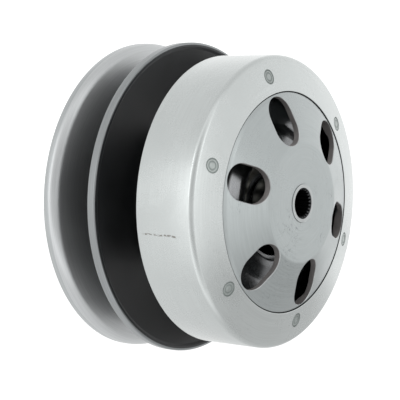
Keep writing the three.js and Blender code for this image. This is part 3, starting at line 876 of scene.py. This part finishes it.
def make_main_spring():
    """Round wire coil whose first and last turns are closed flat against their seats."""
    _, front, rear = extent("main_spring")
    wire, ring, turns = 1.95, 31.0, 5
    low, high = front + wire + 0.1, rear - wire - 0.1
    steps = 64 * turns
    path = []
    for i in range(steps + 1):
        t = i / steps
        rise = min(1.0, max(0.0, (t * turns - 0.55) / (turns - 1.1)))
        angle = math.tau * turns * t
        path.append((ring * math.cos(angle), low + (high - low) * rise, ring * math.sin(angle)))
    build = bmesh.new()
    add_sweep(build, path, wire, 16)
    spring = new_object("main_spring_visual", build, 50)
    dress(spring, "driven_pulley", ["main_spring"], [SPRING])
    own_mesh(spring)


def make_spring_seats():
    for node, body, bore in (("spring_seat_clutch_end", "driven_pulley", 26.5),
                             ("spring_seat_sheave_end", "sheave_spring_seat", 27.5)):
        radius, front, rear = extent(node)
        seat = lathe(node + "_visual", [(bore, front, 0.5), (radius, front, 0.6), (radius, rear, 0.6),
                                        (bore, rear, 0.5)], 128)
        dress(seat, body, [node], [NYLON])


def make_ball_bearing():
    radius, front, rear = extent("bearing_outer_ring")
    bore = 8.5
    middle = (front + rear) / 2
    groove = 3.06
    land = 2.35
    reach = math.sqrt(groove ** 2 - land ** 2)
    lean = math.degrees(math.asin(reach / groove))
    away = []
    for k in range(13):
        across, along = polar(groove, lean - 2 * lean * k / 12)
        away.append((BEARING_PITCH + across, middle + along, 0))
    near = [(2 * BEARING_PITCH - r, y, 0) for r, y, _ in reversed(away)]
    outer = lathe("bearing_outer_ring_visual", [
        (BEARING_PITCH + land, front, 0.3), (radius, front, 0.8), (radius, rear, 0.8),
        (BEARING_PITCH + land, rear, 0.3), *away], 128)
    dress(outer, "driven_pulley", ["bearing_outer_ring"], [RACE])
    inner = lathe("bearing_inner_ring_visual", [
        (bore, front, 0.7), (BEARING_PITCH - land, front, 0.3), *near,
        (BEARING_PITCH - land, rear, 0.3), (bore, rear, 0.7)], 128)
    dress(inner, "clutch_bell", ["bearing_inner_ring"], [RACE])
    cage_in, cage_out = 13.4, 15.1
    cage_front, cage_rear = middle - 2.2, middle + 3.4
    cage = lathe("bearing_balls_and_cage_visual", [
        (cage_in, cage_front, 0.3), (cage_out, cage_front, 0.3), (cage_out, cage_rear, 0.3),
        (cage_in, cage_rear, 0.3)], 144)
    pockets = []
    balls = bmesh.new()
    for i in range(BALLS):
        x, z = polar(BEARING_PITCH, 360 / BALLS * i)
        pocket = bmesh.new()
        bmesh.ops.create_uvsphere(pocket, u_segments=32, v_segments=16, radius=BALL_R + 0.13)
        pockets.append(new_object("pocket", moved(pocket, x, middle, z)))
        ball = bmesh.ops.create_uvsphere(balls, u_segments=32, v_segments=16, radius=BALL_R)
        bmesh.ops.translate(balls, verts=ball["verts"], vec=(x, middle, z))
    boolean(cage, pockets)
    ball_set = new_object("bearing_balls", balls)
    dress(cage, "driven_pulley", ["bearing_balls_and_cage"], [DARK_STEEL_AND_SHADE])
    ball_set.data.materials.append(RACE.material)
    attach(ball_set, "driven_pulley")


def make_circlip():
    """Flat ring that keeps the bearing in the tube, open at the top."""
    _, front, rear = extent("bearing_circlip")
    inner, outer, gap = 17.5, 19.9, 24
    outline = arc((0, 0), outer, 90 + gap / 2, 450 - gap / 2, 90)
    inside = arc((0, 0), inner, 450 - gap / 2, 90 + gap / 2, 90)
    build = bmesh.new()
    add_prism(build, outline + inside, front, rear, 0.15)
    clip = new_object("bearing_circlip_visual", build)
    dress(clip, "driven_pulley", ["bearing_circlip"], [SPRING])


# ---------------------------------------------------------------- clutch


def pin_cutter(angle, front, rear):
    return prism("hole", arc(polar(PIVOT_R, angle), PIN_HOLE_R, 0, 352.5, 47), front, rear)


def make_drive_plate():
    radius, front, rear = extent("clutch_drive_plate")
    bore, thick, dish, flare = 15.5, 3.8, 34.5, 2.6
    plate = lathe("clutch_drive_plate_visual", [
        (bore, front, 0.3),
        (dish + flare, front, 2.5),
        (dish + 2 * flare, rear - thick, 2.5),
        (radius, rear - thick, 0.5),
        (radius, rear, 0.5),
        (dish + flare, rear, 2.0),
        (dish, front + thick, 2.0),
        (bore, front + thick, 0.3),
    ])
    boolean(plate, [pin_cutter(THIRD * i, rear - thick - 2, rear + 2) for i in range(3)])
    dress(plate, "driven_pulley", ["clutch_drive_plate"], [DARK_STEEL_AND_SHADE])


def make_side_plate():
    radius, front, rear = extent("clutch_side_plate")
    bead = SIDE_BEAD_FRONT
    bore, sheet = 28.2, 1.4
    plate = lathe("clutch_side_plate_visual", [
        (bore, rear - 1.2, 0.3),
        (bore, bead + 1.6, 1.0),
        (31.2, bead, 3.2),
        (35.0, bead + 0.4, 4.0),
        (41.6, SIDE_FLAT_FRONT, 5.0),
        (radius, SIDE_FLAT_FRONT, 0.5),
        (radius, rear, 0.5),
        (41.2, rear, 3.6),
        (34.4, bead + 2.0, 2.4),
        (31.6, bead + 1.6, 1.6),
        (bore + sheet, bead + 2.4, 0.6),
        (bore + sheet, rear - 1.2, 0.3),
    ])
    boolean(plate, [pin_cutter(THIRD * i, front - 1, rear + 2) for i in range(3)])
    dress(plate, "driven_pulley", ["clutch_side_plate"], [SIDE_STEEL_PAINTED_SHADE])


def make_pins():
    _, front, rear = extent("pivot_pin_1")
    neck = 3.3
    for i in range(3):
        node = f"pivot_pin_{i + 1}"
        pin = lathe(node + "_visual", [
            (TIP, front, 0),
            (PIN_R - 0.3, front, 0.5),
            (PIN_R - 0.3, CLIP_FRONT, 0.1),
            (neck, CLIP_FRONT, 0),
            (neck, CLIP_REAR, 0),
            (PIN_R, CLIP_REAR, 0.1),
            (PIN_R, rear, 0.4),
            (TIP, rear, 0),
        ], SMALL, polar(PIVOT_R, THIRD * i))
        dress(pin, "driven_pulley", [node], [SPRING])


def make_e_clips():
    """Flat clip with three inner teeth, open on its outer side."""
    _, front, rear = extent("pivot_e_clip_1")
    inner, outer, half = 3.45, 7.2, 35
    outline = arc((0, 0), outer, half, 360 - half, 40)
    inside = []
    for start, end, r in ((360 - half, 290, inner), (285, 215, 5.0), (210, 150, inner), (145, 75, 5.0),
                          (70, half, inner)):
        inside += arc((0, 0), r, start, end, 8)
    for i in range(3):
        node = f"pivot_e_clip_{i + 1}"
        build = bmesh.new()
        add_prism(build, outline + inside, front + 0.05, rear - 0.05, 0.12)
        clip = new_object(node + "_visual", turned(moved(build, PIVOT_R, 0, 0), THIRD * i))
        dress(clip, "driven_pulley", [node], [SPRING])


def ear(angle):
    """A cast lug with rounded end that a return spring hooks on."""
    half, root = 2.4, SHOE_INNER + 2
    outline = [(root, -half), (root, half)] + arc((EAR_INNER + half, 0), half, 90, 270, 14)
    build = bmesh.new()
    add_prism(build, outline, SPRING_Y - 2.9, SPRING_Y + 2.9, 0.5)
    return new_object("ear", turned(build, angle))


def make_shoes():
    _, front, rear = extent("shoe_damper_1")
    _, shoe_front, shoe_rear = extent("clutch_shoe_1")
    nose = (SHOE_INNER + SHOE_OUTER) / 2
    outline = arc((0, 0), SHOE_OUTER, SHOE_START + 4, SHOE_END, 60)
    outline += arc((0, 0), SHOE_INNER, SHOE_END, SHOE_START + 3, 50)
    outline += arc(polar(nose, SHOE_START + 1), 5.0, SHOE_START - 130, SHOE_START - 50, 8)
    shoe = prism("clutch_shoe", outline, shoe_front, shoe_rear, 0.9)
    boolean(shoe, [ear(EAR_NEAR), ear(EAR_FAR)], "UNION")
    boolean(shoe, [pin_cutter(0, shoe_front - 2, shoe_rear + 2)])
    start, end, outer = 4, 90, 73.7
    pad = arc((0, 0), outer, start, end, 60) + arc((0, 0), SHOE_OUTER + 0.05, end, start, 60)
    _, lining_front, lining_rear = extent("shoe_lining_1")
    lining = prism("shoe_lining", pad, lining_front, lining_rear, 0.5)
    for i in range(3):
        body, angle = f"shoe_{i + 1}", THIRD * i
        node = f"clutch_shoe_{i + 1}"
        dress(copy_turned(shoe, node + "_visual", angle), body, [node], [CAST_PAINTED_SHADE])
        node = f"shoe_lining_{i + 1}"
        dress(copy_turned(lining, node + "_visual", angle), body, [node], [LINING])
        node = f"shoe_damper_{i + 1}"
        damper = lathe(node + "_visual", [
            (TIP, front, 0),
            (3.1, front, 0.8),
            (4.0, front + 1.2, 0.8),
            (4.0, rear, 0.4),
            (TIP, rear, 0),
        ], SMALL, polar(DAMPER_R, DAMPER_TURN + angle))
        dress(damper, "driven_pulley", [node], [RUBBER])
    for pattern in (shoe, lining):
        bpy.data.objects.remove(pattern)


def make_return_springs():
    """Tension springs, each with a hooked end over the ear of the shoe on either side."""
    first = Vector((*polar(SPRING_RING, EAR_FAR), 0)).xzy
    last = Vector((*polar(SPRING_RING, EAR_NEAR + THIRD), 0)).xzy
    along = last - first
    span = along.length
    along.normalize()
    side = Vector((0, 1, 0))
    out = along.cross(side)
    coil, wire, turns, clear = 2.85, 0.6, 12, 4.4
    path = []
    steps = turns * 20
    for k in range(7):
        a = math.pi * (1 - k / 6)
        path.append(along * (clear - 1.6 + 1.2 * math.cos(a)) + side * (2.3 * math.sin(a) - 0.4))
    for k in range(steps + 1):
        t = k / steps
        a = math.tau * turns * t
        grow = min(1.0, t * steps / 10, (1 - t) * steps / 10)
        path.append(along * (clear + (span - 2 * clear) * t) + (side * math.cos(a) + out * math.sin(a))
                    * (coil * (0.35 + 0.65 * grow)))
    for k in range(7):
        a = math.pi * k / 6
        path.append(along * (span - clear + 1.6 - 1.2 * math.cos(a)) + side * (2.3 * math.sin(a) - 0.4))
    origin = first + Vector((0, SPRING_Y, 0))
    for i in range(3):
        node = f"shoe_return_spring_{i + 1}"
        build = bmesh.new()
        add_sweep(build, [origin + p for p in path], wire, 10)
        spring = new_object(node + "_visual", turned(build, THIRD * i), 50)
        spring.data.materials.append(SPRING.material)
        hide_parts(node)
        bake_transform(spring)


def make_nut():
    _, front, rear = extent("clutch_nut")
    across, bore = 38.0, 15.4
    hexagon = [polar(across / 2 / math.cos(math.pi / 6), 60 * i) for i in range(6)]
    nut = prism("clutch_nut_visual", hexagon, front, rear)
    corner = across / 2 + 3.4
    dome = lathe("dome", [(TIP, front, 0), (across / 2 - 0.4, front, 0), (corner, front + 2.2, 0),
                          (corner, rear, 0), (TIP, rear, 0)], 96)
    boolean(nut, [dome], "INTERSECT")
    boolean(nut, [prism("bore", arc((0, 0), bore, 0, 356, 89), front - 2, rear + 2)])
    dress(nut, "driven_pulley", ["clutch_nut"], [ZINC])


def repaint_hidden():
    """Inner pieces that keep their CAD shape."""
    for i in range(3):
        repaint(f"guide_pin_{i + 1}", RACE)
    repaint("cam_sleeve", DARK_STEEL_AND_SHADE)
    for node in ("sleeve_seal_front", "sleeve_seal_rear", "collar_o_ring_1", "collar_o_ring_2"):
        repaint(node, RUBBER)
    repaint("needle_bearing", RACE)
    repaint("clutch_lock_washer", ZINC)


# ---------------------------------------------------------------- stage


def face_towards(thing, location, forward, up=(0, 0, 1)):
    """Places a camera or light so that it looks along forward."""
    forward = Vector(forward).normalized()
    right = forward.cross(Vector(up)).normalized()
    axes = Matrix((right, right.cross(forward), -forward)).transposed()
    thing.matrix_world = Matrix.Translation(location) @ axes.to_4x4()


def make_camera():
    """The photograph's view, from a camera fitted to the bell in it."""
    camera = bpy.data.objects.new("camera", bpy.data.cameras.new("camera"))
    bpy.context.scene.collection.objects.link(camera)
    camera.data.sensor_width = 36.0
    camera.data.lens = 126.28
    camera.data.clip_start = 0.01
    place = (-0.61994, -0.39275, 0.02085)
    forward = (0.80284, 0.59549, -0.02893)
    up = (0, 0.04852, 0.99882)  # rolled a little off level
    face_towards(camera, place, forward, up)
    bpy.context.scene.camera = camera


def make_light(name, location, size, power):
    """A rectangular light that points at the middle of the object."""
    light = bpy.data.lights.new(name, "AREA")
    light.shape = "RECTANGLE"
    light.size, light.size_y = size
    light.energy = power
    lamp = bpy.data.objects.new(name, light)
    bpy.context.scene.collection.objects.link(lamp)
    face_towards(lamp, location, Vector((0, 0.05, 0)) - Vector(location))


STUDIO = 1.6  # brightness of the studio's walls


def studio_walls(nodes, direction):
    """Colour of the studio in a direction: pale ahead, brightest beside the camera, dim behind it."""
    ahead = nodes.vector("DOT_PRODUCT", direction, (0.803, 0.596, 0.0), output="Value")
    return nodes.grey_ramp(ahead, ((0.0, 0.46), (0.07, 0.5), (0.17, 0.78), (0.26, 1.0), (0.36, 0.655),
                                   (0.62, 0.7), (0.93, 0.82)))


def make_world():
    world = bpy.data.worlds.new("studio")
    world.use_nodes = True
    nodes = Nodes(world.node_tree)
    direction = nodes.node("TexCoord").outputs["Generated"]
    height = nodes.node("SeparateXYZ", Vector=direction).outputs["Z"]
    ceiling = nodes.grey_ramp(height, ((0.0, 0.3), (0.4, 0.35), (0.47, 1.0), (0.65, 1.0), (0.93, 0.82)))
    background = nodes.tree.nodes["Background"]
    shaded = nodes.mix(1.0, studio_walls(nodes, direction), ceiling, "MULTIPLY")
    nodes.plug(background.inputs["Color"], shaded)
    nodes.plug(background.inputs["Strength"], STUDIO)
    bpy.context.scene.world = world


def make_floor():
    build = bmesh.new()
    bmesh.ops.create_grid(build, x_segments=1, y_segments=1, size=6000)
    floor = new_object("floor", moved(build, 0, 0, -330))
    look = Look("pale_floor", metallic=0.0)
    grain = look.noise(6.0, 2.0)
    look.colour(look.mix(grain, (0.93, 0.93, 0.93, 1.0), (0.96, 0.96, 0.96, 1.0)))
    look.rough(0.9)
    look.shader.inputs["Emission Color"].default_value = (1.0, 1.0, 1.0, 1.0)
    look.shader.inputs["Emission Strength"].default_value = 0.12
    floor.data.materials.append(look.material)
    floor.visible_diffuse = False


def make_table_card():
    """What the shiny pieces mirror below them: a pale table top with the part's own soft shadow."""
    build = bmesh.new()
    bmesh.ops.create_grid(build, x_segments=1, y_segments=1, size=900)
    card = new_object("table_card", moved(build, 0, 0, -135))
    material = bpy.data.materials.new("table_card")
    card.data.materials.append(material)
    material.use_nodes = True
    nodes = Nodes(material.node_tree)
    nodes.tree.nodes.clear()
    place = nodes.node("TexCoord").outputs["Object"]
    from_shadow = nodes.vector("SUBTRACT", place, (0.22, -0.14, -0.135))
    reach = nodes.vector("LENGTH", from_shadow, output="Value")
    level = nodes.spread(reach, 0.1, 0.5, 0.6 * STUDIO, STUDIO)
    walls = studio_walls(nodes, nodes.vector("NORMALIZE", place))
    glow = nodes.node("Emission", Color=walls, Strength=level)
    nodes.node("OutputMaterial", Surface=glow.outputs["Emission"])
    card.visible_camera = False
    card.visible_diffuse = False
    card.visible_shadow = False


def make_stage():
    bpy.context.scene.view_settings.view_transform = "Standard"
    make_camera()
    make_world()
    make_floor()
    make_table_card()
    make_light("left_strip", (-1.1, 0.45, 0.1), (0.12, 1.2), 1.0)
    make_light("front_strip", (0.12, -1.1, 0.17), (0.06, 0.6), 0.22)


for step in (make_stage, make_bell_drum, make_hub_plate, make_splined_hub, make_fixed_sheave,
             make_moving_sheave, make_hub_tube, make_seal_collar, make_main_spring, make_spring_seats,
             make_ball_bearing, make_circlip, make_drive_plate, make_side_plate, make_pins, make_e_clips,
             make_shoes, make_return_springs, make_nut, repaint_hidden):
    step()
